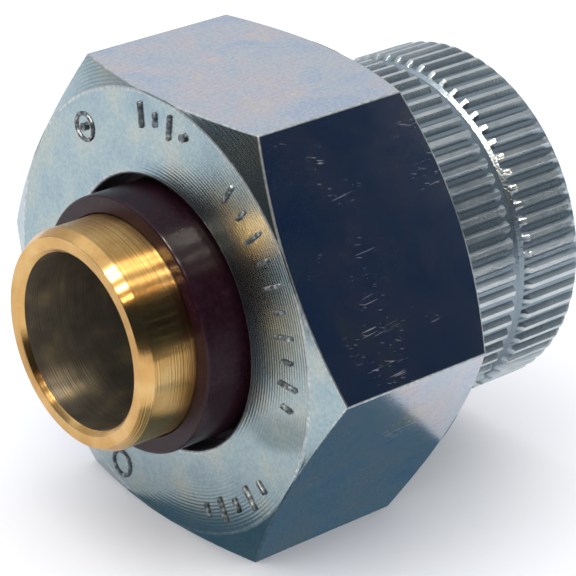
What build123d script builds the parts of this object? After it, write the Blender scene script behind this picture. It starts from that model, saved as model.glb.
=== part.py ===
from build123d import *
import os

# Dielectric pipe union, 3/4 inch: copper tube soldered on one side, steel pipe screwed in on the other.
# Five pieces: threaded hub, union nut, solder tailpiece, insulating sleeve and face gasket.
# Millimetres. The origin is the centre of the solder socket's tube stop, on the pipe axis.
# +X runs along the pipe axis towards the threaded hub. +Z is up, square to two flats of the nut.
# Both threads are plain cylinders near their pitch radius, so that the pieces can turn and slide.

# Solder tailpiece
socket_depth = 19.05
socket_radius = 11.16
socket_bevel = 0.62
tail_outer_radius = 13.95
tail_chamfer_radial = 0.75
tail_chamfer_axial = 1.3
tail_waterway_radius = 9.9
tail_flange_front = 0.15
tail_flange_thickness = 4.0
tail_flange_radius = 19.55
tail_root_fillet = 0.5

# Insulating sleeve
sleeve_clearance = 0.05
sleeve_outer_radius = 16.34
sleeve_front = -11.6
sleeve_flange_thickness = 2.0
sleeve_rim_radius = 20.6
sleeve_rim_setback = 0.2
sleeve_edge = 0.35

# Face gasket
gasket_thickness = 2.0
gasket_inner_radius = 10.8
gasket_outer_radius = 20.3

# Union nut
nut_across_flats = 56.84
nut_length = 26.35
nut_lip_thickness = 4.5
nut_hole_radius = 17.47
nut_face_radius = 28.3
nut_front_chamfer_slope = 0.434
nut_back_chamfer_slope = 0.583
nut_edge = 0.3
nut_relief_radius = 22.3
nut_relief_length = 2.5

# Union thread between the nut and the hub, 12 threads to the inch
union_thread_radius = 21.45
union_thread_clearance = 0.07
union_thread_length = 10.5
union_thread_lead_in = 0.8
union_thread_root_radius = 20.6

# Threaded hub
hub_length = 37.35
hub_radius = 22.75
hub_shoulder_gap = 1.05
hub_shoulder_chamfer = 0.7
hub_end_round = 1.5
hub_waterway_radius = 10.6
pipe_thread_radius = 12.5
pipe_thread_length = 18.0
pipe_thread_mouth_bevel = 0.9
pipe_thread_inner_bevel = 0.8

# Grip groove round the hub: a square wall on the nut's side and a sloping one on the other
groove_start = 32.1
groove_flat_width = 1.45
groove_slope_width = 1.35
groove_radius = 21.75

# Places along the pipe axis, from the stack of flanges
tail_mouth = -socket_depth
tail_flange_back = tail_flange_front + tail_flange_thickness
lip_inner_face = tail_flange_front - sleeve_flange_thickness
nut_front = lip_inner_face - nut_lip_thickness
nut_back = nut_front + nut_length
hub_face = tail_flange_back + gasket_thickness
hub_end = hub_face + hub_length
hub_shoulder = nut_back + hub_shoulder_gap
union_thread_end = hub_face + union_thread_length
pipe_thread_bottom = hub_end - pipe_thread_length
cos_of_thirty = 3 ** 0.5 / 2

os.makedirs("parts", exist_ok=True)


def turned(outline):
    """Turn a closed outline of (place along the axis, radius) points about the pipe axis."""
    points = [(place, 0, radius) for place, radius in outline]
    return revolve(make_face(Polyline(*points, close=True)), axis=Axis.X, revolution_arc=360)


def ring_edges(solid, place, radius):
    """Pick the circular edges of a turned solid at one place and radius."""
    rings = solid.edges().filter_by(GeomType.CIRCLE)
    return [ring for ring in rings
            if abs(ring.center(CenterOf.BOUNDING_BOX).X - place) < 1e-3 and abs(ring.radius - radius) < 1e-3]


def make_tailpiece():
    """Brass tube with the solder socket, and the flange that the nut clamps."""
    body = turned([
        (tail_mouth, socket_radius + socket_bevel),
        (tail_mouth, tail_outer_radius - tail_chamfer_radial),
        (tail_mouth + tail_chamfer_axial, tail_outer_radius),
        (tail_flange_front, tail_outer_radius),
        (tail_flange_front, tail_flange_radius),
        (tail_flange_back, tail_flange_radius),
        (tail_flange_back, tail_waterway_radius),
        (0, tail_waterway_radius),
        (0, socket_radius),
        (tail_mouth + socket_bevel, socket_radius),
    ])
    return fillet(ring_edges(body, tail_flange_front, tail_outer_radius), tail_root_fillet)


def make_sleeve():
    """Plastic sleeve that keeps the brass off the steel nut, with a rim round the brass flange."""
    bore = tail_outer_radius + sleeve_clearance
    rim_bore = tail_flange_radius + sleeve_clearance
    root_relief = tail_root_fillet + 0.1
    rim_end = tail_flange_back - sleeve_rim_setback
    return turned([
        (sleeve_front, bore),
        (sleeve_front, sleeve_outer_radius - sleeve_edge),
        (sleeve_front + sleeve_edge, sleeve_outer_radius),
        (lip_inner_face, sleeve_outer_radius),
        (lip_inner_face, sleeve_rim_radius),
        (rim_end, sleeve_rim_radius),
        (rim_end, rim_bore),
        (tail_flange_front, rim_bore),
        (tail_flange_front, bore + root_relief),
        (tail_flange_front - root_relief, bore),
    ])


def make_gasket():
    """Flat rubber ring between the brass flange and the face of the hub."""
    return turned([
        (tail_flange_back, gasket_inner_radius),
        (tail_flange_back, gasket_outer_radius),
        (hub_face, gasket_outer_radius),
        (hub_face, gasket_inner_radius),
    ])


def make_nut():
    """Hexagon union nut: a lip at the front, the union thread behind it, corners chamfered at both ends."""
    apothem = nut_across_flats / 2
    corner_radius = apothem / cos_of_thirty
    front_chamfer = (corner_radius - nut_face_radius) * nut_front_chamfer_slope
    back_chamfer = (corner_radius - nut_face_radius) * nut_back_chamfer_slope
    thread_bore = union_thread_radius + union_thread_clearance
    hexagon = RegularPolygon(radius=apothem, side_count=6, major_radius=False)
    prism = extrude(Plane.YZ.offset(nut_front) * hexagon, amount=nut_length)
    blank = turned([
        (nut_front, nut_hole_radius + nut_edge),
        (nut_front, nut_face_radius),
        (nut_front + front_chamfer, corner_radius),
        (nut_back - back_chamfer, corner_radius),
        (nut_back, nut_face_radius),
        (nut_back, thread_bore + union_thread_lead_in),
        (nut_back - union_thread_lead_in, thread_bore),
        (lip_inner_face + nut_relief_length, thread_bore),
        (lip_inner_face + nut_relief_length, nut_relief_radius),
        (lip_inner_face, nut_relief_radius),
        (lip_inner_face, nut_hole_radius),
        (nut_front + nut_edge, nut_hole_radius),
    ])
    return prism & blank


def make_hub():
    """Steel hub: union thread outside at the nut's end, pipe thread inside at the other, grip groove between."""
    groove_flat_end = groove_start + groove_flat_width
    groove_end = groove_flat_end + groove_slope_width
    thread_step = pipe_thread_radius - hub_waterway_radius
    body = turned([
        (hub_face, hub_waterway_radius),
        (hub_face, union_thread_radius - union_thread_lead_in),
        (hub_face + union_thread_lead_in, union_thread_radius),
        (union_thread_end, union_thread_radius),
        (union_thread_end + union_thread_lead_in, union_thread_root_radius),
        (hub_shoulder, union_thread_root_radius),
        (hub_shoulder, hub_radius - hub_shoulder_chamfer),
        (hub_shoulder + hub_shoulder_chamfer, hub_radius),
        (groove_start, hub_radius),
        (groove_start, groove_radius),
        (groove_flat_end, groove_radius),
        (groove_end, hub_radius),
        (hub_end, hub_radius),
        (hub_end, pipe_thread_radius + pipe_thread_mouth_bevel),
        (hub_end - pipe_thread_mouth_bevel, pipe_thread_radius),
        (pipe_thread_bottom, pipe_thread_radius),
        (pipe_thread_bottom - thread_step * pipe_thread_inner_bevel, hub_waterway_radius),
    ])
    return fillet(ring_edges(body, hub_end, hub_radius), hub_end_round)


pieces = {
    "threaded_hub": make_hub(),
    "union_nut": make_nut(),
    "solder_tailpiece": make_tailpiece(),
    "insulating_sleeve": make_sleeve(),
    "face_gasket": make_gasket(),
}

for name, piece in pieces.items():
    export_step(piece, f"parts/{name}.step")
    print(name, round(piece.volume, 1), piece.bounding_box())
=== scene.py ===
import logging
import math
from dataclasses import dataclass, field
from enum import Enum
from typing import Any, Callable, Iterable, Sequence

import bpy
from mathutils import Matrix, Vector


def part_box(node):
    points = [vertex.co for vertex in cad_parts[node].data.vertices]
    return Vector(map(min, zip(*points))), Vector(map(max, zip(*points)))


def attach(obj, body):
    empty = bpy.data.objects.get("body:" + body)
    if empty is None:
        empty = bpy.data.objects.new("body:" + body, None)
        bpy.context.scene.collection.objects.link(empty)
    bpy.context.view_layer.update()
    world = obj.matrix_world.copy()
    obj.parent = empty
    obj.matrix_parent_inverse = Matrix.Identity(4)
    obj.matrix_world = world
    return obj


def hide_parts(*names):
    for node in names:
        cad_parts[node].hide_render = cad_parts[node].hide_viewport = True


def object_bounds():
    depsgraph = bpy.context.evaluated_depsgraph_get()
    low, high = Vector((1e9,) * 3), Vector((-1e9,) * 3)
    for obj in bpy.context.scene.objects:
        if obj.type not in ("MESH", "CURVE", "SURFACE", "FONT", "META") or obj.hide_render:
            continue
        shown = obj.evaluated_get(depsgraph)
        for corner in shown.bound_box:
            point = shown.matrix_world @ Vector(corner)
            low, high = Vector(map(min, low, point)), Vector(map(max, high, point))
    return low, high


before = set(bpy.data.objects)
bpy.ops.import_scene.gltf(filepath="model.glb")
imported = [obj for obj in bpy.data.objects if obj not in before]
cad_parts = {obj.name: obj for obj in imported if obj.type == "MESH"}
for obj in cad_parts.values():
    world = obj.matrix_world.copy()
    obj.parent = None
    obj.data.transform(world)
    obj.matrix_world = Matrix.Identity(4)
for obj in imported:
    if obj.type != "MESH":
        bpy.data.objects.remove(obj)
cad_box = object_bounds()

log = logging.getLogger("pipe_union")

MM = 0.001
FACES_ALONG_PIPE = 0.75
FACES_OFF_THE_FLATS = 0.3
PIPE_AXIS_TURN = (0.0, math.pi / 2, 0.0)
TURN_STEPS = 192

Outline = Sequence[tuple[float, float]]
Colour = tuple[float, float, float, float]
Shades = tuple[tuple[float, str], ...]
Piece = bpy.types.Object
Face = bpy.types.MeshPolygon
Finish = bpy.types.Material
Tree = bpy.types.NodeTree


class Cut(Enum):
    """What a tool body does to the piece it meets."""

    TAKE_AWAY = "DIFFERENCE"
    KEEP_SHARED = "INTERSECT"


class Part(Enum):
    """What is selected on a mesh."""

    POINTS = "VERT"
    FACES = "FACE"


class Mark(Enum):
    """The plain shapes punched into the face of the nut."""

    LONG_BAR = 3.3
    SHORT_BAR = 1.9
    DOT = 0.95
    RING = 3.4


# --- modelling by hand, one operation at a time


def let_go() -> None:
    """Leave edit mode and deselect everything."""
    if bpy.context.object and bpy.context.object.mode != "OBJECT":
        bpy.ops.object.mode_set(mode="OBJECT")
    bpy.ops.object.select_all(action="DESELECT")


def hold(piece: Piece) -> None:
    """Select one piece alone and make it active.

    Args:
        piece: the piece to work on.
    """
    let_go()
    piece.select_set(True)
    bpy.context.view_layer.objects.active = piece


def freeze_place(piece: Piece) -> None:
    """Put a piece's place, turn and scale into its mesh.

    Args:
        piece: the piece to settle at the origin.
    """
    hold(piece)
    bpy.ops.object.transform_apply(location=True, rotation=True, scale=True)


def pick(piece: Piece, part: Part, wanted: Callable[[Any], bool]) -> None:
    """Select a piece's points or faces by place or normal, and stay in edit mode on them.

    Args:
        piece: a piece whose place is already in its mesh.
        part: which of the two is selected.
        wanted: says of a point or face whether it is selected.
    """
    hold(piece)
    bpy.ops.object.mode_set(mode="EDIT")
    bpy.ops.mesh.select_mode(type=part.value)
    bpy.ops.mesh.select_all(action="DESELECT")
    bpy.ops.object.mode_set(mode="OBJECT")
    for element in piece.data.vertices if part is Part.POINTS else piece.data.polygons:
        element.select = wanted(element)
    bpy.ops.object.mode_set(mode="EDIT")


def pick_all(piece: Piece) -> None:
    """Select the whole of a piece in edit mode.

    Args:
        piece: the piece to work on.
    """
    hold(piece)
    bpy.ops.object.mode_set(mode="EDIT")
    bpy.ops.mesh.select_all(action="SELECT")


def off_axis(place: Vector) -> float:
    """Give a place's distance from the pipe axis, in millimetres."""
    return math.hypot(place.y, place.z) / MM


def close_up(piece: Piece) -> None:
    """Merge doubled points and turn every face outwards.

    Args:
        piece: the piece to close.
    """
    pick_all(piece)
    bpy.ops.mesh.remove_doubles(threshold=0.002 * MM)
    bpy.ops.mesh.normals_make_consistent(inside=False)
    bpy.ops.object.mode_set(mode="OBJECT")


def turn_on_lathe(name: str, outline: Outline, steps: int = TURN_STEPS) -> Piece:
    """Turn a closed outline about the pipe axis, ring after ring.

    Args:
        name: the new piece's name.
        outline: (place along the axis, radius) points in millimetres.
        steps: points round each ring.

    Returns:
        The closed turned piece.
    """
    let_go()
    place, radius = outline[0]
    bpy.ops.mesh.primitive_circle_add(
        vertices=steps, radius=radius * MM, location=(place * MM, 0, 0), rotation=PIPE_AXIS_TURN
    )
    piece = bpy.context.object
    piece.name = piece.data.name = name
    bpy.ops.object.mode_set(mode="EDIT")
    bpy.ops.mesh.select_mode(type="VERT")
    bpy.ops.mesh.select_all(action="SELECT")
    for next_place, next_radius in [*outline[1:], outline[0]]:
        bpy.ops.mesh.extrude_edges_move(
            TRANSFORM_OT_translate={"value": ((next_place - place) * MM, 0, 0)}
        )
        if next_radius != radius:
            bpy.ops.transform.resize(
                value=(1, next_radius / radius, next_radius / radius),
                center_override=(next_place * MM, 0, 0),
            )
        place, radius = next_place, next_radius
    freeze_place(piece)
    close_up(piece)
    return piece


def modify(piece: Piece, kind: str, **settings: Any) -> None:
    """Add a modifier to a piece and apply it.

    Args:
        piece: the piece to change.
        kind: the modifier's type.
        settings: attributes set on it.
    """
    hold(piece)
    modifier = piece.modifiers.new(kind.lower(), kind)
    for attribute, value in settings.items():
        setattr(modifier, attribute, value)
    bpy.ops.object.modifier_apply(modifier=modifier.name)


def machine(piece: Piece, tool: Piece, how: Cut) -> None:
    """Cut a piece with a tool body, and throw the tool away.

    Args:
        piece: the piece that stays.
        tool: the closed body that cuts it.
        how: whether the tool's space is taken away or kept.
    """
    modify(piece, "BOOLEAN", operation=how.value, solver="EXACT", object=tool, material_mode="TRANSFER")
    bpy.data.objects.remove(tool)
    close_up(piece)


def join(tools: Sequence[Piece]) -> Piece:
    """Join several tool bodies, clear of each other, into the first of them."""
    hold(tools[0])
    for tool in tools:
        tool.select_set(True)
    bpy.ops.object.join()
    return tools[0]


def break_edges(piece: Piece, width: float, finish: Finish) -> None:
    """Round a piece's sharp edges by a small even amount, and wear the rounding.

    Args:
        piece: the piece, already dressed in its main finish.
        width: how far the rounding reaches from the edge, in millimetres.
        finish: what the rounding looks like.
    """
    piece.data.materials.append(finish)
    modify(
        piece, "BEVEL", material=len(piece.data.materials) - 1, width=width * MM, segments=2,
        limit_method="ANGLE", angle_limit=math.radians(18), use_clamp_overlap=False, miter_outer="MITER_ARC"
    )


def settle_shading(piece: Piece, angle: float = 32.0) -> None:
    """Shade a piece smooth except at its edges, with large faces leading.

    Args:
        piece: the piece to shade.
        angle: the turn between faces that stays a visible edge, in degrees.
    """
    hold(piece)
    bpy.ops.object.shade_smooth_by_angle(angle=math.radians(angle))
    modify(piece, "WEIGHTED_NORMAL", keep_sharp=True, weight=80)


def arc(centre: tuple[float, float], radius: float, start: float, end: float,
        steps: int) -> list[tuple[float, float]]:
    """Points along a round of an outline.

    Args:
        centre: (place, radius) of the round's centre, millimetres.
        radius: the round's own radius.
        start: first angle in degrees, where 0 points along the axis and 90 outwards.
        end: last angle in degrees.
        steps: how many stretches the round is divided into.

    Returns:
        The round's points in order.
    """
    angles = [math.radians(start + (end - start) * step / steps) for step in range(steps + 1)]
    return [(centre[0] + radius * math.cos(a), centre[1] + radius * math.sin(a)) for a in angles]


# --- finishes


def from_hex(code: str) -> Colour:
    """Turn an sRGB hex colour into a linear one.

    Args:
        code: six hex digits after a hash sign.

    Returns:
        Linear red, green, blue and full alpha.
    """
    parts = [int(code[i:i + 2], 16) / 255 for i in (1, 3, 5)]
    linear = [p / 12.92 if p <= 0.04045 else ((p + 0.055) / 1.055) ** 2.4 for p in parts]
    return (*linear, 1.0)


def per_metre(size_in_mm: float) -> float:
    """Give a pattern scale for features of one size, from their spacing in millimetres."""
    return 1000.0 / size_in_mm


def feed(node: bpy.types.Node, values: dict[Any, Any]) -> None:
    """Set a node's inputs.

    Args:
        node: the node to feed.
        values: from input name or number to a plain value, an output, or a node whose first output serves.
    """
    for socket, value in values.items():
        source = value.outputs[0] if isinstance(value, bpy.types.Node) else value
        if isinstance(source, bpy.types.NodeSocket):
            node.id_data.links.new(source, node.inputs[socket])
        else:
            node.inputs[socket].default_value = source


def add_node(tree: Tree, kind: str, values: dict[Any, Any] | None = None,
             shades: Shades = (), **settings: Any) -> Any:
    """Add one shader node with its settings and what its inputs are fed.

    Args:
        tree: the material's node tree.
        kind: the node's type name after ShaderNode.
        values: as feed takes them.
        shades: (place, hex colour) pairs in order, where the node is a colour ramp.
        settings: attributes set on the node itself.

    Returns:
        The new node.
    """
    node = tree.nodes.new("ShaderNode" + kind)
    for attribute, value in settings.items():
        setattr(node, attribute, value)
    if shades:
        band = node.color_ramp.elements
        while len(band) < len(shades):
            band.new(0.5)
        for element, (place, code) in zip(band, shades):
            element.position = place
            element.color = from_hex(code)
    feed(node, values or {})
    return node


def new_finish(name: str) -> tuple[Finish, Tree, Any, Any]:
    """Start a material with a bare shader.

    Args:
        name: the finish's name.

    Returns:
        The material, its node tree, its shader and its object coordinates.
    """
    material = bpy.data.materials.new(name)
    material.use_nodes = True
    tree = material.node_tree
    tree.nodes.clear()
    shader = add_node(tree, "BsdfPrincipled")
    add_node(tree, "OutputMaterial", {"Surface": shader})
    place = add_node(tree, "TexCoord").outputs["Object"]
    return material, tree, shader, place


def shine_across_rings(tree: Tree, shader: Any, amount: float) -> None:
    """Stretch highlights across the rings that a tool leaves round the pipe axis.

    Args:
        tree: the material's node tree.
        shader: its shader.
        amount: 0 for an even shine, 1 for the most stretched.
    """
    around = add_node(tree, "Tangent", direction_type="RADIAL", axis="X")
    feed(shader, {"Anisotropic": amount, "Anisotropic Rotation": 0.25, "Tangent": around})


@dataclass(frozen=True)
class PlatedFlats:
    """Bright zinc plate with a thin blue chromate, over bar stock drawn through a hexagon die.

    The film gives the grey a lilac cast with pale gold and blue clouds some millimetres across. The
    drawing leaves hair lines along the bar, drawn wider than real so that they show, and handling
    leaves fine scratches across them.
    """

    name: str = "zinc_plated_drawn_flats"
    clouds: Shades = (
        (0.30, "#A4B4D0"), (0.42, "#B1BFD0"), (0.50, "#BCC4CD"), (0.58, "#C6C0CA"), (0.70, "#CECABA"),
    )
    specks: Shades = ((0.35, "#7E8AA2"), (0.5, "#BCC0C8"), (0.68, "#E2E0DC"))
    cloud_size: float = 8.0
    speck_size: float = 0.45
    speck_share: float = 0.2
    line_spacing: float = 0.35
    line_length: float = 1000 / 60
    scratch_length: float = 9.0
    scratch_width: float = 0.22
    scratch_patch: float = 8.0
    scratch_turns: tuple[tuple[float, float, float], ...] = ((0.0, 3.0, -4.0), (0.0, -9.0, 14.0))
    scratch_roughness: float = 0.35
    scratch_rarity: tuple[float, float] = (0.66, 0.74)
    patch_rarity: tuple[float, float] = (0.53, 0.66)
    smoothest: float = 0.155
    roughest: float = 0.19

    def make(self) -> Finish:
        """Build the material."""
        material, tree, shader, place = new_finish(self.name)
        clouds = add_node(tree, "TexNoise", {
            "Vector": place, "Scale": per_metre(self.cloud_size), "Detail": 5.0, "Roughness": 0.62,
            "Distortion": 0.6,
        })
        tint = add_node(tree, "ValToRGB", {"Fac": clouds}, self.clouds)
        specks = add_node(tree, "TexNoise", {
            "Vector": place, "Scale": per_metre(self.speck_size), "Detail": 3.0,
        })
        speck_tint = add_node(tree, "ValToRGB", {"Fac": specks}, self.specks)
        colour = add_node(
            tree, "Mix", {"Factor": self.speck_share, "A": tint, "B": speck_tint}, data_type="RGBA"
        )
        across = per_metre(self.line_spacing)
        along = add_node(
            tree, "Mapping", {"Vector": place, "Scale": (per_metre(self.line_length), across, across)}
        )
        lines = add_node(tree, "TexNoise", {"Vector": along, "Scale": 1.0, "Detail": 3.0, "Roughness": 0.6})
        grain = add_node(tree, "Bump", {"Height": lines, "Strength": 0.25, "Distance": 0.02 * MM})
        pits = add_node(
            tree, "Bump", {"Height": specks, "Strength": 0.3, "Distance": 0.02 * MM, "Normal": grain}
        )
        uneven = add_node(tree, "MapRange", {
            "Value": clouds, "From Min": 0.3, "From Max": 0.7,
            "To Min": self.smoothest, "To Max": self.roughest,
        })
        dulled = add_node(
            tree, "Math", {0: self.scratches(tree, place), 1: self.scratch_roughness, 2: uneven},
            operation="MULTIPLY_ADD"
        )
        feed(shader, {
            "Metallic": 1.0, "Base Color": colour.outputs["Result"], "Roughness": dulled, "Normal": pits,
        })
        return material

    def scratches(self, tree: Tree, place: Any) -> Any:
        """Lay handling scratches over the plate in two directions, some millimetres long.

        Args:
            tree: the material's node tree.
            place: the piece's coordinates.

        Returns:
            A node that gives 1 on a scratch and 0 between them.
        """
        size = tuple(per_metre(one) for one in (self.scratch_length, self.scratch_width, self.scratch_width))
        marks = []
        for turn in self.scratch_turns:
            turned = add_node(
                tree, "Mapping", {"Vector": place, "Rotation": tuple(math.radians(a) for a in turn)}
            )
            along = add_node(tree, "Mapping", {"Vector": turned, "Scale": size})
            streaks = add_node(tree, "TexNoise", {"Vector": along, "Scale": 1.0, "Detail": 1.0})
            marks.append(add_node(tree, "MapRange", {
                "Value": streaks, "From Min": self.scratch_rarity[0], "From Max": self.scratch_rarity[1],
            }))
        both = add_node(tree, "Math", dict(enumerate(marks)), operation="MAXIMUM")
        patches = add_node(
            tree, "TexNoise", {"Vector": place, "Scale": per_metre(self.scratch_patch), "Detail": 2.0}
        )
        handled = add_node(tree, "MapRange", {
            "Value": patches, "From Min": self.patch_rarity[0], "From Max": self.patch_rarity[1],
        })
        return add_node(tree, "Math", {0: both, 1: handled}, operation="MULTIPLY")


@dataclass(frozen=True)
class PlatedTurnedFace:
    """Zinc plate over a faced end: rings left by the facing tool, under a cool pale grey.

    The rings spread a highlight into a spoke. A real tool leaves them closer than this spacing, which
    is as fine as still shows.
    """

    name: str = "zinc_plated_turned_face"
    clouds: Shades = ((0.32, "#879CA6"), (0.5, "#96A9AD"), (0.66, "#A8AFA8"))
    mottle: Shades = ((0.35, "#74828A"), (0.5, "#A0ADB1"), (0.66, "#C8CCC8"))
    ring_spacing: float = 0.45
    cloud_size: float = 7.0
    mottle_size: float = 0.5
    mottle_share: float = 0.22
    roughness: float = 0.25

    def make(self) -> Finish:
        """Build the material."""
        material, tree, shader, place = new_finish(self.name)
        clouds = add_node(
            tree, "TexNoise", {"Vector": place, "Scale": per_metre(self.cloud_size), "Detail": 4.0}
        )
        tint = add_node(tree, "ValToRGB", {"Fac": clouds}, self.clouds)
        mottle = add_node(tree, "TexNoise", {
            "Vector": place, "Scale": per_metre(self.mottle_size), "Detail": 4.0, "Roughness": 0.7,
        })
        mottle_tint = add_node(tree, "ValToRGB", {"Fac": mottle}, self.mottle)
        colour = add_node(
            tree, "Mix", {"Factor": self.mottle_share, "A": tint, "B": mottle_tint}, data_type="RGBA"
        )
        # A wave texture has 20 / tau rings to one unit of its scale.
        rings = add_node(
            tree, "TexWave",
            {"Vector": place, "Scale": per_metre(self.ring_spacing) * math.tau / 20, "Distortion": 0.6,
             "Detail": 2.0, "Detail Scale": 2.0},
            wave_type="RINGS", rings_direction="X"
        )
        turned = add_node(
            tree, "Bump", {"Height": rings.outputs["Fac"], "Strength": 0.5, "Distance": 0.02 * MM}
        )
        bump = add_node(
            tree, "Bump", {"Height": mottle, "Strength": 0.25, "Distance": 0.03 * MM, "Normal": turned}
        )
        shine_across_rings(tree, shader, 0.55)
        feed(shader, {
            "Metallic": 1.0, "Roughness": self.roughness,
            "Base Color": colour.outputs["Result"], "Normal": bump,
        })
        return material


@dataclass(frozen=True)
class PlatedKnurl:
    """Zinc plate over a knurled round bar: worn bright on the ridges, dull in the flutes, with painted shade
    darkening the flutes.
    """

    name: str = "zinc_plated_knurl"
    ridge_wear_and_flute_shade: Shades = ((0.0, "#85929B"), (0.25, "#A3AEB4"), (0.5, "#BBC2C4"), (0.8, "#CFD1CB"))
    root_radius: float = 22.1
    crest_radius: float = 22.75
    patch_size: float = 3.0
    grit_size: float = 0.3
    roughness: float = 0.3

    def make(self) -> Finish:
        """Build the material."""
        material, tree, shader, place = new_finish(self.name)
        # Painted shade: the tint darkens with depth from the crests down into the flutes, where shade falls;
        # noise patches add random wear.
        across = add_node(tree, "VectorMath", {0: place, 1: (0.0, 1.0, 1.0)}, operation="MULTIPLY")
        radius = add_node(tree, "VectorMath", {0: across}, operation="LENGTH").outputs["Value"]
        height = add_node(
            tree, "MapRange",
            {"Value": radius, "From Min": self.root_radius * MM, "From Max": self.crest_radius * MM}
        )
        patches = add_node(
            tree, "TexNoise", {"Vector": place, "Scale": per_metre(self.patch_size), "Detail": 4.0}
        )
        worn = add_node(tree, "Math", {0: height, 1: patches}, operation="MULTIPLY")
        tint = add_node(tree, "ValToRGB", {"Fac": worn}, self.ridge_wear_and_flute_shade)
        grit = add_node(
            tree, "TexNoise", {"Vector": place, "Scale": per_metre(self.grit_size), "Detail": 2.0}
        )
        bump = add_node(tree, "Bump", {"Height": grit, "Strength": 0.8, "Distance": 0.08 * MM})
        feed(shader, {"Metallic": 1.0, "Roughness": self.roughness, "Base Color": tint, "Normal": bump})
        return material


@dataclass(frozen=True)
class MottledFinish:
    """A finish of one even make, whose grain both tints it and roughens it. Sizes in millimetres."""

    name: str
    tints: Shades
    grain: float
    roughness: float
    bump_strength: float
    bump_depth: float
    metallic: float = 1.0
    detail: float = 3.0

    def make(self) -> Finish:
        """Build the material."""
        material, tree, shader, place = new_finish(self.name)
        grain = add_node(
            tree, "TexNoise", {"Vector": place, "Scale": per_metre(self.grain), "Detail": self.detail}
        )
        tint = add_node(tree, "ValToRGB", {"Fac": grain}, self.tints)
        feed(shader, {"Metallic": self.metallic, "Roughness": self.roughness, "Base Color": tint})
        if self.bump_strength:
            feed(shader, {"Normal": add_node(tree, "Bump", {
                "Height": grain, "Strength": self.bump_strength, "Distance": self.bump_depth * MM,
            })})
        return material


@dataclass(frozen=True)
class PlatedBore(MottledFinish):
    """Zinc plate over bored and threaded steel: duller than the outside, with a trace of cutting oil."""

    name: str = "zinc_plated_bore"
    tints: Shades = ((0.35, "#6C7280"), (0.55, "#9A9C9F"), (0.7, "#A89F8E"))
    grain: float = 4.0
    roughness: float = 0.36
    bump_strength: float = 0.2
    bump_depth: float = 0.05
    detail: float = 4.0


@dataclass(frozen=True)
class WornPlate(MottledFinish):
    """Zinc plate rubbed thin on an edge: paler and rougher, so it catches light beside a dark flat."""

    name: str = "zinc_plated_worn_edge"
    tints: Shades = ((0.35, "#A0A9AE"), (0.52, "#B4BBBD"), (0.68, "#CDD0CD"))
    grain: float = 0.5
    roughness: float = 0.4
    bump_strength: float = 0.35
    bump_depth: float = 0.05


@dataclass(frozen=True)
class PunchedSteel(MottledFinish):
    """The floor of a punched mark, where the plate is thin: darker than the face round it."""

    name: str = "punched_mark"
    tints: Shades = ((0.35, "#3E4347"), (0.55, "#747B80"), (0.7, "#BCC2C5"))
    grain: float = 0.6
    roughness: float = 0.5
    bump_strength: float = 0.0
    bump_depth: float = 0.0
    metallic: float = 0.8


@dataclass(frozen=True)
class MouldedRubber(MottledFinish):
    """Black moulded rubber: matt, with a fine even grain and a little dust."""

    name: str = "moulded_black_rubber"
    tints: Shades = ((0.35, "#141414"), (0.7, "#2A2A29"))
    grain: float = 0.4
    roughness: float = 0.62
    bump_strength: float = 0.4
    bump_depth: float = 0.05
    metallic: float = 0.0


@dataclass(frozen=True)
class TurnedFinish:
    """A surface turned on a lathe: a mottle tints it, and the tool's rings shine across themselves.

    The rings are drawn coarser than a finishing cut leaves them, so that they show. Sizes in millimetres.
    """

    name: str
    tints: Shades
    mottle: float
    detail: float
    mottle_roughness: float
    ring_spacing: float
    ring_arc: float
    ring_strength: float
    ring_depth: float
    stretch: float
    roughness: float
    metallic: float

    def make(self) -> Finish:
        """Build the material."""
        material, tree, shader, place = new_finish(self.name)
        mottle = add_node(tree, "TexNoise", {
            "Vector": place, "Scale": per_metre(self.mottle), "Detail": self.detail,
            "Roughness": self.mottle_roughness,
        })
        tint = add_node(tree, "ValToRGB", {"Fac": mottle}, self.tints)
        size = tuple(per_metre(one) for one in (self.ring_spacing, self.ring_arc, self.ring_arc))
        around = add_node(tree, "Mapping", {"Vector": place, "Scale": size})
        rings = add_node(tree, "TexNoise", {"Vector": around, "Scale": 1.0, "Detail": 2.0})
        bump = add_node(tree, "Bump", {
            "Height": rings, "Strength": self.ring_strength, "Distance": self.ring_depth * MM,
        })
        shine_across_rings(tree, shader, self.stretch)
        feed(shader, {
            "Metallic": self.metallic, "Roughness": self.roughness, "Base Color": tint, "Normal": bump,
        })
        return material


@dataclass(frozen=True)
class MachinedBrass(TurnedFinish):
    """Free-cutting brass turned to size: rings of the tool along its length, straw gold, faintly stained."""

    name: str = "machined_brass"
    tints: Shades = ((0.3, "#B98A4E"), (0.5, "#CCA264"), (0.7, "#DAB67C"))
    mottle: float = 6.0
    detail: float = 5.0
    mottle_roughness: float = 0.6
    ring_spacing: float = 0.22
    ring_arc: float = 50.0
    ring_strength: float = 0.9
    ring_depth: float = 0.06
    stretch: float = 1.0
    roughness: float = 0.25
    metallic: float = 1.0


@dataclass(frozen=True)
class DarkBrassBore(TurnedFinish):
    """The inside of the brass tube: bored, unpolished and browned by the air."""

    name: str = "browned_brass_bore"
    tints: Shades = ((0.3, "#5C5548"), (0.55, "#756B5B"), (0.75, "#968764"))
    mottle: float = 3.5
    detail: float = 5.0
    mottle_roughness: float = 0.5
    ring_spacing: float = 0.3
    ring_arc: float = 50.0
    ring_strength: float = 0.9
    ring_depth: float = 0.08
    stretch: float = 0.9
    roughness: float = 0.33
    metallic: float = 0.55


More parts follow.
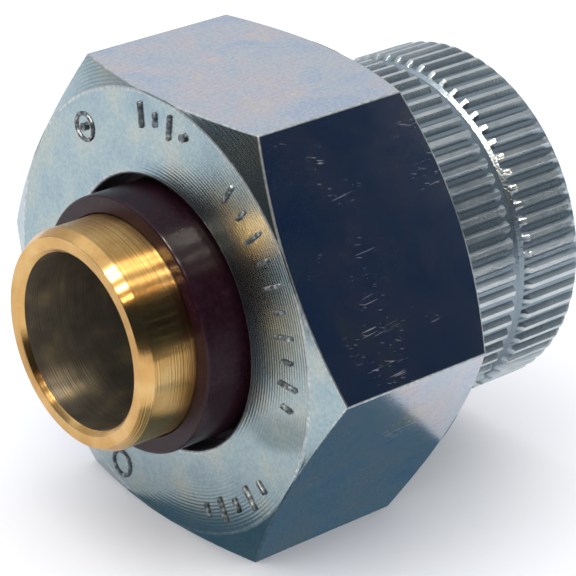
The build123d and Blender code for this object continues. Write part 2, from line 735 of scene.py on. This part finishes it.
@dataclass(frozen=True)
class TurnedPhenolic(TurnedFinish):
    """Dark maroon phenolic plastic, turned to size: a low gloss, with fine rings and a few pale flecks."""

    name: str = "turned_maroon_phenolic"
    tints: Shades = ((0.35, "#1E0C14"), (0.6, "#27111A"), (0.8, "#311822"))
    mottle: float = 0.8
    detail: float = 3.0
    mottle_roughness: float = 0.5
    ring_spacing: float = 0.3
    ring_arc: float = 1000 / 15
    ring_strength: float = 0.7
    ring_depth: float = 0.04
    stretch: float = 0.9
    roughness: float = 0.26
    metallic: float = 0.0

    def make(self) -> Finish:
        """Build the material, with a plastic's weaker mirror."""
        material = super().make()
        feed(material.node_tree.nodes["Principled BSDF"], {"IOR": 1.5, "Specular IOR Level": 0.2})
        return material


def dress(piece: Piece, main: Finish) -> None:
    """Give a whole piece one finish.

    Args:
        piece: the piece.
        main: its finish.
    """
    piece.data.materials.clear()
    piece.data.materials.append(main)


def dress_faces(
    piece: Piece, finish: Finish, wanted: Callable[[Face], bool]
) -> None:
    """Give some of a piece's faces a finish of their own.

    Args:
        piece: the piece, already dressed in its main finish.
        finish: the finish for the chosen faces.
        wanted: says of a face whether it takes the finish.
    """
    piece.data.materials.append(finish)
    pick(piece, Part.FACES, wanted)
    piece.active_material_index = len(piece.data.materials) - 1
    bpy.ops.object.material_slot_assign()
    let_go()


def span(node: str) -> tuple[float, float]:
    """Say where a CAD node starts and ends along the pipe axis.

    Args:
        node: the node's name.

    Returns:
        Its first and last place along X, in millimetres.
    """
    low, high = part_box(node)
    return low[0] / MM, high[0] / MM


def hand_over(piece: Piece, node: str, body: str) -> None:
    """Let a finished piece stand for a CAD node and ride on its body.

    Args:
        piece: the finished piece.
        node: the CAD node that it replaces.
        body: the moving body that carries it.
    """
    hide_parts(node)
    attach(piece, body)
    log.info("%s: %d faces, rides on %s", piece.name, len(piece.data.polygons), body)


# --- threads


@dataclass(frozen=True)
class Thread:
    """A right-hand screw thread with 60 degree flanks, cut by a helical tool.

    Radii are in millimetres. The groove's narrow side is at groove_floor and its open side at
    groove_mouth, which is further out on a male thread and further in on a female one.
    """

    pitch: float
    groove_floor: float
    groove_mouth: float
    floor_width: float
    taper: float = 0.0
    steps_per_turn: int = 72
    overshoot: float = 0.1

    def tool(self, start: float, end: float) -> Piece:
        """Make the helical tool body.

        Args:
            start: where the groove's middle begins along the pipe axis, at the top of the pipe.
            end: where it has to have ended.

        Returns:
            The closed tool body, with its origin at start.
        """
        turns = math.floor((end - start) / self.pitch)
        outwards = 1 if self.groove_mouth > self.groove_floor else -1
        mouth = self.groove_mouth + outwards * self.overshoot
        depth = abs(mouth - self.groove_floor)
        mouth_width = self.floor_width + 2 * depth * math.tan(math.radians(30))
        middle = (mouth + self.groove_floor) / 2
        let_go()
        bpy.ops.mesh.primitive_plane_add(
            size=1, location=(start * MM, 0, middle * MM), rotation=(math.pi / 2, 0, 0)
        )
        tool = bpy.context.object
        tool.name = "thread_tool"
        tool.scale = (self.floor_width * MM, depth * MM, 1)
        hold(tool)
        bpy.ops.object.transform_apply(location=False, rotation=True, scale=True)
        pick(tool, Part.POINTS, lambda point: point.co.z * outwards > 0)
        bpy.ops.transform.resize(
            value=(mouth_width / self.floor_width, 1, 1), center_override=(start * MM, 0, mouth * MM)
        )
        bpy.ops.mesh.select_all(action="SELECT")
        bpy.ops.mesh.delete(type="ONLY_FACE")
        bpy.ops.object.mode_set(mode="OBJECT")
        bpy.context.scene.cursor.location = (start * MM, 0, 0)
        bpy.ops.object.origin_set(type="ORIGIN_CURSOR")
        modify(
            tool, "SCREW", axis="X", screw_offset=self.pitch * MM, iterations=turns,
            steps=self.steps_per_turn, render_steps=self.steps_per_turn, use_smooth_shade=False
        )
        if self.taper:
            narrowing = self.taper * turns * self.pitch / self.groove_floor
            modify(tool, "SIMPLE_DEFORM", deform_method="TAPER", deform_axis="X", factor=narrowing)
        pick_all(tool)
        bpy.ops.mesh.fill_holes(sides=4)
        bpy.ops.object.mode_set(mode="OBJECT")
        freeze_place(tool)
        close_up(tool)
        return tool


# --- the five pieces


@dataclass
class StackOfFlanges:
    """Places along the pipe axis that more than one piece shares, read from the CAD parts in model.glb.
    Millimetres.
    """

    nut_front: float = field(default_factory=lambda: span("union_nut")[0])
    nut_back: float = field(default_factory=lambda: span("union_nut")[1])
    sleeve_front: float = field(default_factory=lambda: span("insulating_sleeve")[0])
    tail_mouth: float = field(default_factory=lambda: span("solder_tailpiece")[0])
    tail_flange_back: float = field(default_factory=lambda: span("solder_tailpiece")[1])
    hub_face: float = field(default_factory=lambda: span("threaded_hub")[0])
    hub_end: float = field(default_factory=lambda: span("threaded_hub")[1])
    tail_flange_front: float = 0.15
    lip_inner_face: float = -1.85


@dataclass
class UnionThreadPair:
    """The thread between the nut and the hub, 12 to the inch, in mesh with a little play."""

    pitch: float = 25.4 / 12
    male_crest: float = 22.1
    male_root: float = 20.85
    female_crest: float = 21.0
    female_root: float = 22.25
    male_floor_width: float = 0.265
    female_floor_width: float = 0.3

    def male(self) -> Thread:
        """Give the hub's outside thread."""
        return Thread(self.pitch, self.male_root, self.male_crest, self.male_floor_width)

    def female(self) -> Thread:
        """Give the nut's inside thread."""
        return Thread(self.pitch, self.female_root, self.female_crest, self.female_floor_width)


@dataclass
class ThreadedHub:
    """Steel hub: male union thread, straight-knurled grip with one groove, female taper pipe thread."""

    stack: StackOfFlanges
    union_thread: UnionThreadPair
    knurl: Finish
    turned: Finish
    bore: Finish
    radius: float = 22.75
    knurl_root: float = 22.12
    ridges: int = 66
    points_per_ridge: int = 8
    waterway_radius: float = 10.6
    thread_length: float = 10.5
    neck_radius: float = 20.5
    shoulder: float = 21.05
    groove_start: float = 32.1
    groove_flat_end: float = 33.55
    groove_end: float = 34.9
    groove_radius: float = 21.75
    end_round: float = 1.5
    pipe_crest_at_mouth: float = 12.55
    pipe_taper: float = 1 / 32
    pipe_thread_length: float = 17.2
    pipe_pitch: float = 25.4 / 14
    pipe_thread_depth: float = 1.2
    pipe_mouth_chamfer: float = 1.2
    pipe_drill_cone: float = 1.0
    thread_run_out: float = 1.0
    shoulder_fillet: float = 0.5
    shoulder_chamfer: float = 0.7
    ridge_end_break: tuple[float, float] = (0.08, 0.1)
    groove_fillet: float = 0.15
    waterway_break: float = 0.3

    def outline(self) -> list[tuple[float, float]]:
        """Draw the hub's closed outline, with rings where the knurl begins, runs out and rounds off."""
        stack, thread = self.stack, self.union_thread
        slope = (self.groove_end - self.groove_flat_end) / (self.radius - self.groove_radius)
        thread_end = stack.hub_face + self.thread_length
        lead_in = thread.male_crest - thread.male_root + 0.15
        end_centre = (stack.hub_end - self.end_round, self.radius - self.end_round)
        pipe_floor = stack.hub_end - self.pipe_thread_length
        pipe_floor_radius = self.pipe_crest_at_mouth - self.pipe_taper * self.pipe_thread_length
        mouth = self.pipe_crest_at_mouth + self.pipe_thread_depth + 0.1
        fillet = self.shoulder_fillet
        along, deep = self.ridge_end_break
        return [
            (stack.hub_face, self.waterway_radius + self.waterway_break),
            (stack.hub_face, thread.male_crest - lead_in),
            (stack.hub_face + lead_in * 0.75, thread.male_crest),
            (thread_end, thread.male_crest),
            (thread_end + self.thread_run_out, self.neck_radius),
            (self.shoulder - fillet, self.neck_radius),
            *arc((self.shoulder - fillet, self.neck_radius + fillet), fillet, 290, 340, 2),
            (self.shoulder, self.neck_radius + fillet),
            (self.shoulder, self.radius - self.shoulder_chamfer),
            (self.shoulder + self.shoulder_chamfer, self.radius),
            (self.groove_start - along, self.radius),
            (self.groove_start, self.radius - deep),
            (self.groove_start, self.groove_radius + self.groove_fillet),
            (self.groove_start + self.groove_fillet, self.groove_radius),
            (self.groove_flat_end, self.groove_radius),
            (self.groove_flat_end + slope * (self.knurl_root - self.groove_radius), self.knurl_root),
            (self.groove_end, self.radius),
            *arc(end_centre, self.end_round, 90, 0, 8),
            (stack.hub_end, mouth),
            (stack.hub_end - self.pipe_mouth_chamfer,
             self.pipe_crest_at_mouth - self.pipe_taper * self.pipe_mouth_chamfer),
            (pipe_floor, pipe_floor_radius),
            (pipe_floor - self.pipe_drill_cone, self.waterway_radius),
            (stack.hub_face + self.waterway_break, self.waterway_radius),
        ]

    def roll_knurl(self, piece: Piece) -> None:
        """Press the flutes between the ridges, one straight row of points at a time.

        Args:
            piece: the turned hub.
        """
        step = 2 * math.pi / (self.ridges * self.points_per_ridge)
        half_root = (self.radius + self.knurl_root) / 2
        knurl_start = (self.shoulder - 0.1) * MM
        ring_radii = sorted({
            round(off_axis(point.co), 3) for point in piece.data.vertices if point.co.x > knurl_start
        })
        for depth, rows in ((half_root, (3, 7)), (self.knurl_root, (4, 5, 6))):
            for ring_radius in [radius for radius in ring_radii if radius > depth + 0.001]:
                pick(piece, Part.POINTS, lambda point: (
                    abs(off_axis(point.co) - ring_radius) < 0.004 and point.co.x > knurl_start
                    and round(math.atan2(point.co.z, point.co.y) / step) % self.points_per_ridge in rows
                ))
                bpy.ops.transform.resize(
                    value=(1, depth / ring_radius, depth / ring_radius), center_override=(0, 0, 0)
                )
        let_go()

    def build(self) -> Piece:
        """Make, thread, knurl and dress the hub."""
        stack, thread = self.stack, self.union_thread
        hub = turn_on_lathe("threaded_hub_piece", self.outline(), self.ridges * self.points_per_ridge)
        dress(hub, self.knurl)
        self.roll_knurl(hub)
        first_groove = stack.hub_face - thread.pitch
        machine(hub, thread.male().tool(first_groove, self.shoulder - 1.3), Cut.TAKE_AWAY)
        pipe = Thread(
            self.pipe_pitch,
            self.pipe_crest_at_mouth + self.pipe_thread_depth - self.pipe_taper * self.pipe_thread_length,
            self.pipe_crest_at_mouth - self.pipe_taper * self.pipe_thread_length,
            floor_width=0.2,
            taper=self.pipe_taper,
            overshoot=0.2,
        )
        pipe_start = stack.hub_end - self.pipe_thread_length + 1.0
        machine(hub, pipe.tool(pipe_start, stack.hub_end + 2 * self.pipe_pitch), Cut.TAKE_AWAY)
        settle_shading(hub, 28)
        dress_faces(hub, self.turned, lambda face: (
            abs(face.normal.x) > FACES_ALONG_PIPE and off_axis(face.center) < self.groove_radius + 0.05
        ))
        dress_faces(hub, self.bore, lambda face: (
            face.center.x < (self.shoulder - 0.2) * MM
            or off_axis(face.center) < self.neck_radius - 1 and face.center.x < (stack.hub_end - 0.05) * MM
        ))
        hand_over(hub, "threaded_hub", "hub")
        return hub


@dataclass
class UnionNut:
    """Hexagon union nut: chamfered corners, a lip round the sleeve, the female union thread behind it."""

    stack: StackOfFlanges
    union_thread: UnionThreadPair
    flats: Finish
    worn: Finish
    face: Finish
    bore: Finish
    punched: Finish
    hole_radius: float = 17.47
    face_radius: float = 28.3
    front_slope: float = 0.434
    back_slope: float = 0.583
    relief_radius: float = 22.3
    relief_length: float = 2.5
    edge: float = 0.2
    mark_depth: float = 0.35
    mark_width: float = 0.55
    bar_allowance: float = 1.0
    hole_break: float = 0.3
    lip_break: float = 0.2
    relief_chamfer: float = 0.4
    thread_lead: float = 1.3
    thread_flare: float = 0.25
    last_thread_to_lip: float = 1.4

    def blank(self) -> Piece:
        """Turn the round blank that limits the hexagon's corners, bored and relieved."""
        stack, thread = self.stack, self.union_thread
        reach = self.corner_radius() + self.bar_allowance
        front_chamfer = (reach - self.face_radius) * self.front_slope
        back_chamfer = (reach - self.face_radius) * self.back_slope
        relief_end = stack.lip_inner_face + self.relief_length
        return turn_on_lathe("nut_blank", [
            (stack.nut_front, self.hole_radius + self.hole_break),
            (stack.nut_front, self.face_radius),
            (stack.nut_front + front_chamfer, reach),
            (stack.nut_back - back_chamfer, reach),
            (stack.nut_back, self.face_radius),
            (stack.nut_back, thread.female_root + self.thread_flare),
            (stack.nut_back - self.thread_lead, thread.female_crest),
            (relief_end, thread.female_crest),
            (relief_end - self.relief_chamfer, self.relief_radius),
            (stack.lip_inner_face, self.relief_radius),
            (stack.lip_inner_face, self.hole_radius + self.lip_break),
            (stack.lip_inner_face - self.lip_break, self.hole_radius),
            (stack.nut_front + self.hole_break, self.hole_radius),
        ])

    def corner_radius(self) -> float:
        """Give the distance from the axis to a corner of the hexagon."""
        low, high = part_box("union_nut")
        return (high[1] - low[1]) / 2 / MM

    def hexagon(self) -> Piece:
        """Make the hexagon bar that the nut is cut from, with two corners level at either side."""
        stack = self.stack
        let_go()
        bpy.ops.mesh.primitive_cylinder_add(
            vertices=6, radius=self.corner_radius() * MM,
            depth=(stack.nut_back - stack.nut_front + 2 * self.bar_allowance) * MM,
            location=((stack.nut_front + stack.nut_back) / 2 * MM, 0, 0), rotation=PIPE_AXIS_TURN,
        )
        bar = bpy.context.object
        bar.name = "hexagon_bar"
        freeze_place(bar)
        return bar

    def flush_flats(self, nut: Piece) -> None:
        """Press back what the rounding has raised above the six flats, one flat at a time.

        Args:
            nut: the nut with its edges rounded.
        """
        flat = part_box("union_nut")[1][2]
        for _ in range(6):
            pick(nut, Part.POINTS, lambda point: point.co.z > flat)
            bpy.ops.transform.resize(value=(1, 1, 0), center_override=(0, 0, flat))
            let_go()
            nut.rotation_euler = (math.pi / 3, 0, 0)
            freeze_place(nut)

    def punch(self, kind: Mark, angle: float, radius: float) -> Piece:
        """Make the tool body for one punched mark.

        Args:
            kind: the mark's shape.
            angle: where it is round the face, in degrees from -Y towards +Z.
            radius: its distance from the axis in millimetres.

        Returns:
            The tool body, standing through the face.
        """
        let_go()
        depth = 2 * self.mark_depth * MM
        where = (self.stack.nut_front * MM, 0, radius * MM)
        if kind is Mark.RING:
            bpy.ops.mesh.primitive_torus_add(
                location=where, rotation=PIPE_AXIS_TURN, major_segments=32, minor_segments=12,
                major_radius=kind.value / 2 * MM, minor_radius=self.mark_width / 2 * MM,
            )
        elif kind is Mark.DOT:
            bpy.ops.mesh.primitive_cone_add(
                vertices=20, radius1=kind.value * 0.6 * MM, radius2=kind.value * 0.35 * MM, depth=depth,
                location=where, rotation=PIPE_AXIS_TURN,
            )
        else:
            bpy.ops.mesh.primitive_cube_add(size=1, location=where)
            bpy.context.object.scale = (depth, self.mark_width * MM, kind.value * MM)
        tool = bpy.context.object
        freeze_place(tool)
        if kind in (Mark.LONG_BAR, Mark.SHORT_BAR):
            pick_all(tool)
            bpy.ops.mesh.bevel(offset=self.mark_width * 0.3 * MM, segments=3, affect="EDGES")
            bpy.ops.object.mode_set(mode="OBJECT")
        dress(tool, self.punched)
        tool.rotation_euler = (math.radians(90 - angle), 0, 0)
        freeze_place(tool)
        return tool

    def marks(self) -> Iterable[tuple[Mark, float, float]]:
        """List the punched marks: shape, angle round the face, and radius."""
        yield Mark.RING, 126, 24.6
        yield Mark.DOT, 126, 24.6
        for place, kind in enumerate((Mark.LONG_BAR, Mark.SHORT_BAR, Mark.LONG_BAR, Mark.DOT)):
            yield kind, 97 - 6.2 * place, 25.4
        for place in range(10):
            yield (Mark.LONG_BAR, Mark.SHORT_BAR)[place % 2], 57 - 7.1 * place, 24.5
        for place in range(5):
            yield (Mark.SHORT_BAR, Mark.LONG_BAR)[place % 2], -38 - 7.4 * place, 25.2
        yield Mark.RING, -108, 25.6

    def build(self) -> Piece:
        """Make, mark, thread and dress the nut."""
        stack, thread = self.stack, self.union_thread
        nut = self.blank()
        nut.name = nut.data.name = "union_nut_piece"
        dress(nut, self.flats)
        machine(nut, self.hexagon(), Cut.KEEP_SHARED)
        dress(nut, self.flats)
        break_edges(nut, self.edge, self.worn)
        self.flush_flats(nut)
        punches = [self.punch(kind, angle, radius) for kind, angle, radius in self.marks()]
        machine(nut, join(punches), Cut.TAKE_AWAY)
        half_turn_on = stack.hub_face - thread.pitch / 2
        clear_of_lip = stack.lip_inner_face + self.last_thread_to_lip
        turns_back = math.ceil((half_turn_on - clear_of_lip) / thread.pitch - 1)
        lead = half_turn_on - turns_back * thread.pitch
        machine(nut, thread.female().tool(lead, stack.nut_back + 2 * thread.pitch), Cut.TAKE_AWAY)
        settle_shading(nut, 30)
        keeps = [nut.data.materials.find(finish.name) for finish in (self.punched, self.worn)]
        dress_faces(nut, self.face, lambda part: (
            part.material_index not in keeps and abs(part.normal.x) > FACES_OFF_THE_FLATS
            and off_axis(part.center) >= self.hole_radius + 0.45
        ))
        dress_faces(nut, self.bore, lambda part: (
            part.material_index not in keeps and part.center.x > (stack.nut_front + 0.2) * MM
            and off_axis(part.center) < thread.female_root + 0.35
        ))
        hand_over(nut, "union_nut", "nut")
        return nut


@dataclass
class SolderTailpiece:
    """Brass tailpiece: solder socket, tube stop, waterway and the flange that the nut clamps."""

    stack: StackOfFlanges
    brass: Finish
    bore: Finish
    socket_radius: float = 11.16
    outer_radius: float = 13.95
    waterway_radius: float = 9.9
    flange_radius: float = 19.55
    edge: float = 0.2
    flange_fillet: float = 0.4

    def build(self) -> Piece:
        """Turn and dress the tailpiece."""
        stack = self.stack
        mouth, front, back = stack.tail_mouth, stack.tail_flange_front, stack.tail_flange_back
        fillet = self.flange_fillet
        tail = turn_on_lathe("solder_tailpiece_piece", [
            (mouth + 0.06, self.socket_radius + 0.56),
            (mouth, self.socket_radius + 0.7),
            (mouth, self.outer_radius - 0.8),
            (mouth + 0.1, self.outer_radius - 0.68),
            (mouth + 1.25, self.outer_radius - 0.04),
            (mouth + 1.5, self.outer_radius),
            (front - fillet, self.outer_radius),
            *arc((front - fillet, self.outer_radius + fillet), fillet, 300, 360, 3),
            (front, self.flange_radius - self.edge),
            (front + self.edge, self.flange_radius),
            (back - self.edge, self.flange_radius),
            (back, self.flange_radius - self.edge),
            (back, self.waterway_radius + self.edge),
            (back - self.edge, self.waterway_radius),
            (0.0, self.waterway_radius),
            (0.0, self.socket_radius),
            (mouth + 0.66, self.socket_radius),
        ])
        dress(tail, self.brass)
        settle_shading(tail)
        dress_faces(tail, self.bore, lambda face: (
            off_axis(face.center) < self.socket_radius + 0.02 and mouth * MM < face.center.x < back * MM
        ))
        hand_over(tail, "solder_tailpiece", "tailpiece")
        return tail


@dataclass
class InsulatingSleeve:
    """Plastic sleeve between the brass tube and the steel nut, with a flange and a rim behind the lip."""

    stack: StackOfFlanges
    phenolic: Finish
    bore_radius: float = 14.0
    outer_radius: float = 16.34
    rim_radius: float = 20.6
    rim_bore: float = 19.6
    rim_setback: float = 0.2
    edge: float = 0.2
    front_round: float = 0.35
    lip_fillet: tuple[float, float] = (0.25, 0.1)
    flange_chamfer: float = 0.3
    rim_break: float = 0.15
    seat_chamfer: float = 0.6

    def build(self) -> Piece:
        """Turn and dress the sleeve."""
        stack = self.stack
        front, lip, flange = stack.sleeve_front, stack.lip_inner_face, stack.tail_flange_front
        rim_end = stack.tail_flange_back - self.rim_setback
        nose = self.front_round
        along, up = self.lip_fillet
        sleeve = turn_on_lathe("insulating_sleeve_piece", [
            (front + self.edge, self.bore_radius),
            (front, self.bore_radius + self.edge),
            (front, self.outer_radius - nose),
            *arc((front + nose, self.outer_radius - nose), nose, 150, 90, 3),
            (lip - along, self.outer_radius),
            (lip, self.outer_radius + up),
            (lip, self.rim_radius - self.flange_chamfer),
            (lip + self.flange_chamfer, self.rim_radius),
            (rim_end - self.edge, self.rim_radius),
            (rim_end, self.rim_radius - self.edge),
            (rim_end, self.rim_bore + self.rim_break),
            (rim_end - self.rim_break, self.rim_bore),
            (flange, self.rim_bore),
            (flange, self.bore_radius + self.seat_chamfer),
            (flange - self.seat_chamfer, self.bore_radius),
        ])
        dress(sleeve, self.phenolic)
        settle_shading(sleeve)
        hand_over(sleeve, "insulating_sleeve", "sleeve")
        return sleeve


@dataclass
class FaceGasket:
    """Flat rubber ring between the brass flange and the hub, round outside and ridged on its bore."""

    stack: StackOfFlanges
    rubber: Finish
    inner_radius: float = 10.8
    outer_radius: float = 20.3
    edge: float = 0.4

    def build(self) -> Piece:
        """Turn and dress the gasket."""
        front, back = self.stack.tail_flange_back, self.stack.hub_face
        middle = (front + back) / 2
        half = (back - front) / 2
        gasket = turn_on_lathe("face_gasket_piece", [
            (front, self.inner_radius + self.edge),
            (front, self.outer_radius - self.edge),
            *arc((middle, self.outer_radius - half * 0.5), half * 0.5, 150, 30, 6),
            (back, self.outer_radius - self.edge),
            (back, self.inner_radius + self.edge),
            (middle, self.inner_radius),
        ])
        dress(gasket, self.rubber)
        settle_shading(gasket)
        hand_over(gasket, "face_gasket", "gasket")
        return gasket


# --- the studio


@dataclass(frozen=True)
class Softbox:
    """A flat studio lamp: where it hangs, how large and how strong it is, and its warmth."""

    name: str
    direction: tuple[float, float, float]
    distance: float
    width: float
    height: float
    power: float
    colour: str = "#FFFFFF"
    lights_table: bool = True


@dataclass(frozen=True)
class PaintedReflectionCard:
    """A glowing board beside or on the table that shows only in reflections: a painted reflection, light or
    dark, that is no lamp and lights nothing.
    """

    name: str
    centre: tuple[float, float, float]
    facing: tuple[float, float, float]
    width: float
    height: float
    glow: str
    spin: float = 0.0
    fade: bool = False


@dataclass
class Studio:
    """A pale table, lamps, glowing boards that only reflections show as painted reflections, and the camera.
    """

    azimuth: float = -40.222
    elevation: float = 26.079
    roll: float = 0.668
    distance: float = 361.85
    aim_offset: tuple[float, float, float] = (0.604, -1.653, -1.781)
    lens: float = 180.17
    table_half_width: float = 3.0
    table_colour: str = "#F4F4F6"
    table_roughness: float = 0.7
    pale_side: tuple[float, float, float] = (0.3, 0.7, 0.65)
    room_shades: tuple[tuple[float, str], ...] = (
        (0.3, "#323A48"), (0.52, "#343E4C"), (0.62, "#7C8592"), (0.78, "#C6CBD2"), (1.0, "#F0F1F4"),
    )
    room_strength: float = 1.0
    backdrop: str = "#FAFBFD"
    floor_fill: float = 0.32
    lamps: tuple[Softbox, ...] = (
        Softbox("first_strip", (-0.25, -0.06, 0.966), 0.6, 0.16, 0.008, 1.9, "#FFF1DC", lights_table=False),
        Softbox("second_strip", (-0.25, -0.18, 0.951), 0.6, 0.16, 0.008, 2.0, "#FFF1DC", lights_table=False),
        Softbox("third_strip", (-0.25, -0.39, 0.886), 0.6, 0.16, 0.008, 1.7, "#FFF1DC", lights_table=False),
        Softbox("fourth_strip", (-0.25, -0.55, 0.797), 0.6, 0.16, 0.03, 0.6, "#FFE2C2", lights_table=False),
        Softbox("top_lamp", (-0.45, 0.25, 0.9), 1.0, 1.3, 1.3, 3.2, "#F6F9FF"),
    )
    cards: tuple[PaintedReflectionCard, ...] = (
        PaintedReflectionCard("right_card", (0.0767, -0.1697, 0.0495), (-0.57, 0.82, 0.0), 0.151, 0.155, "#1D2D45"),
        PaintedReflectionCard("hub_card", (0.1832, -0.0956, 0.036), (-0.57, 0.82, 0.0), 0.109, 0.128, "#CBD3D6"),
        PaintedReflectionCard(
            "brass_card", (-0.01165, -0.0188, -0.0105), (0.0, 0.0, 1.0), 0.0105, 0.0126, "#D8D8D6", fade=True
        ),
        PaintedReflectionCard("left_card", (-0.135, 0.03, 0.034), (1.0, 0.0, 0.0), 0.14, 0.124, "#10141A"),
        # A dark board flat on the table by the nut: painted shade of the floor round the nut's foot, as the
        # nut's lower faces reflect it.
        PaintedReflectionCard(
            "floor_shade_card", (0.003, -0.0193, -0.0283), (0.0, 0.0, 1.0), 0.045, 0.05, "#56707F", spin=-34.0
        ),
    )

    def lay_table(self) -> None:
        """Lay the pale table under the nut's lower flat."""
        let_go()
        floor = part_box("union_nut")[0][2]
        bpy.ops.mesh.primitive_plane_add(size=2 * self.table_half_width, location=(0, 0, floor))
        table = bpy.context.object
        table.name = "table"
        material, _, shader, _ = new_finish("pale_table")
        feed(shader, {"Base Color": from_hex(self.table_colour), "Roughness": self.table_roughness})
        dress(table, material)

    def stand_card(self, card: PaintedReflectionCard) -> None:
        """Stand one board beside the table.

        Args:
            card: where it stands and how large it is.
        """
        let_go()
        towards = Vector(card.facing).to_track_quat("Z", "Y").to_matrix()
        turn = (towards @ Matrix.Rotation(math.radians(card.spin), 3, "Z")).to_euler()
        bpy.ops.mesh.primitive_plane_add(size=1, location=card.centre, rotation=turn)
        board = bpy.context.object
        board.name = card.name
        board.scale = (card.width, card.height, 1)
        material, tree, shader, place = new_finish(card.name)
        # The board's colour is emitted as a painted reflection; the camera, diffuse light and shadows don't
        # see it.
        feed(shader, {
            "Base Color": from_hex("#000000"), "Specular IOR Level": 0.0,
            "Emission Color": from_hex(card.glow), "Emission Strength": 1.0,
        })
        if card.fade:
            self.fade_rim(tree, shader, place)
        dress(board, material)
        board.visible_camera = board.visible_shadow = board.visible_diffuse = False

    def fade_rim(self, tree: Tree, shader: Any, place: Any) -> None:
        """Let a board thin out to nothing towards its rim, so that its reflection has no hard edge.

        Args:
            tree: the board's node tree.
            shader: its surface shader.
            place: the board's coordinates, which run from -0.5 to 0.5 across it.
        """
        from_centre = add_node(tree, "VectorMath", {0: place}, operation="LENGTH").outputs["Value"]
        feed(shader, {"Alpha": add_node(
            tree, "MapRange", {"Value": from_centre, "From Min": 0.5, "From Max": 0.28},
            interpolation_type="SMOOTHSTEP"
        )})

    def hang_lamp(self, lamp: Softbox) -> None:
        """Hang one softbox, aimed at the union, with its long side along the pipe.

        Args:
            lamp: where it hangs and how strong it is.
        """
        light = bpy.data.lights.new(lamp.name, "AREA")
        light.shape = "RECTANGLE"
        light.size, light.size_y = lamp.width, lamp.height
        light.energy = lamp.power
        light.color = from_hex(lamp.colour)[:3]
        towards = Vector(lamp.direction).normalized()
        holder = bpy.data.objects.new(lamp.name, light)
        holder.location = towards * lamp.distance
        along = Vector((1, 0, 0)).cross(towards).cross(towards).normalized() * -1
        holder.rotation_euler = Matrix((along, towards.cross(along), towards)).transposed().to_euler()
        holder.visible_diffuse = lamp.lights_table
        bpy.context.scene.collection.objects.link(holder)

    def light_room(self) -> None:
        """Fill the room with soft light: shaded where it is reflected, plain where it is seen or lights."""
        world = bpy.data.worlds.new("studio_room")
        world.use_nodes = True
        tree = world.node_tree
        direction = add_node(tree, "TexCoord").outputs["Generated"]
        towards_pale = add_node(
            tree, "VectorMath", {0: direction, 1: Vector(self.pale_side).normalized()},
            operation="DOT_PRODUCT"
        ).outputs["Value"]
        share = add_node(tree, "MapRange", {"Value": towards_pale, "From Min": -1.0, "From Max": 1.0})
        shade = add_node(tree, "ValToRGB", {"Fac": share}, self.room_shades)
        path = add_node(tree, "LightPath")
        diffuse = path.outputs["Is Diffuse Ray"]
        plain = add_node(tree, "Math", {0: path.outputs["Is Camera Ray"], 1: diffuse}, operation="MAXIMUM")
        backdrop = add_node(
            tree, "Mix", {"Factor": plain, "A": shade, "B": from_hex(self.backdrop)}, data_type="RGBA"
        )
        strength = add_node(
            tree, "Math", {0: diffuse, 1: self.floor_fill, 2: self.room_strength}, operation="MULTIPLY_ADD"
        )
        feed(tree.nodes["Background"], {"Color": backdrop.outputs["Result"], "Strength": strength})
        bpy.context.scene.world = world
        bpy.context.scene.view_settings.view_transform = "Standard"

    def place_camera(self) -> None:
        """Stand the camera at its angle, with a long lens."""
        low, high = cad_box
        aim = (Vector(low) + Vector(high)) / 2 + Vector(self.aim_offset) * MM
        turn, lift = math.radians(self.azimuth), math.radians(self.elevation)
        back = Vector((math.sin(turn) * math.cos(lift), -math.cos(turn) * math.cos(lift), math.sin(lift)))
        camera = bpy.data.cameras.new("camera")
        camera.sensor_width = 36.0
        camera.lens = self.lens
        camera.clip_start = 0.01
        holder = bpy.data.objects.new("camera", camera)
        holder.location = aim + back * self.distance * MM
        level = (-back).to_track_quat("-Z", "Y").to_matrix()
        holder.rotation_euler = (level @ Matrix.Rotation(math.radians(self.roll), 3, "Z")).to_euler()
        bpy.context.scene.collection.objects.link(holder)
        bpy.context.scene.camera = holder

    def build(self) -> None:
        """Set up the whole studio."""
        self.light_room()
        self.lay_table()
        for card in self.cards:
            self.stand_card(card)
        for lamp in self.lamps:
            self.hang_lamp(lamp)
        self.place_camera()
        log.info("studio: %d lamps, %d reflected cards", len(self.lamps), len(self.cards))


def main() -> None:
    """Build the five pieces of the union, then the studio."""
    logging.basicConfig(level=logging.INFO, format="%(name)s: %(message)s")
    stack = StackOfFlanges()
    union_thread = UnionThreadPair()
    plated_bore = PlatedBore().make()
    plated_face = PlatedTurnedFace().make()
    ThreadedHub(stack, union_thread, PlatedKnurl().make(), plated_face, plated_bore).build()
    UnionNut(
        stack, union_thread, PlatedFlats().make(), WornPlate().make(), plated_face, plated_bore,
        PunchedSteel().make()
    ).build()
    SolderTailpiece(stack, MachinedBrass().make(), DarkBrassBore().make()).build()
    InsulatingSleeve(stack, TurnedPhenolic().make()).build()
    FaceGasket(stack, MouldedRubber().make()).build()
    Studio().build()
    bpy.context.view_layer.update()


if __name__ == "__main__":
    main()
